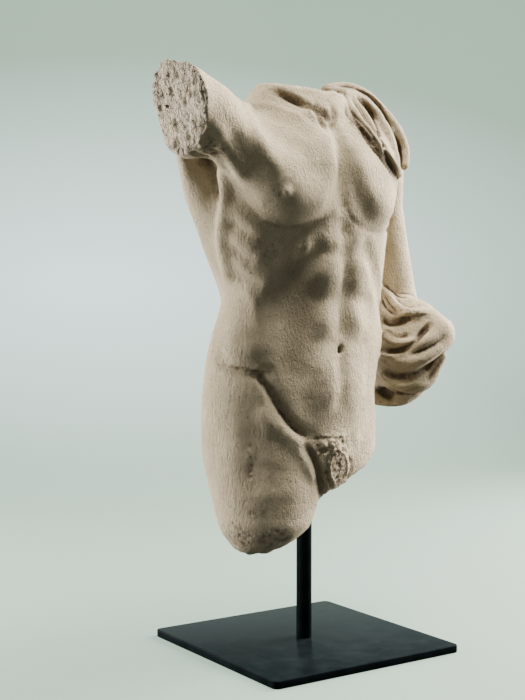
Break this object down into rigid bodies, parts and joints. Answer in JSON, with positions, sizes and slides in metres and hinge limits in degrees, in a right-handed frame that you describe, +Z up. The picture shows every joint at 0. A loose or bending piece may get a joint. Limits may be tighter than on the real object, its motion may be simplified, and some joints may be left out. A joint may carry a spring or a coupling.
{
  "type": "plaster torso sculpture",
  "caption": "Broken classical male torso in plaster with a cloak over one shoulder, held up by a round black post on a square plate.",
  "frame": {"origin": "centre of the plate's underside", "axes": "+Z up along the post, -Y the front of the figure, +X the figure's left, which is a viewer's right"},
  "size_m": [0.4781, 0.3, 0.7709],
  "materials": {
    "torso": "matte",
    "post": "satin",
    "base_plate": "satin"
  },
  "bodies": {
    "root": {"torso": "torso", "post": "post", "base_plate": "base_plate"}
  },
  "joints": []
}
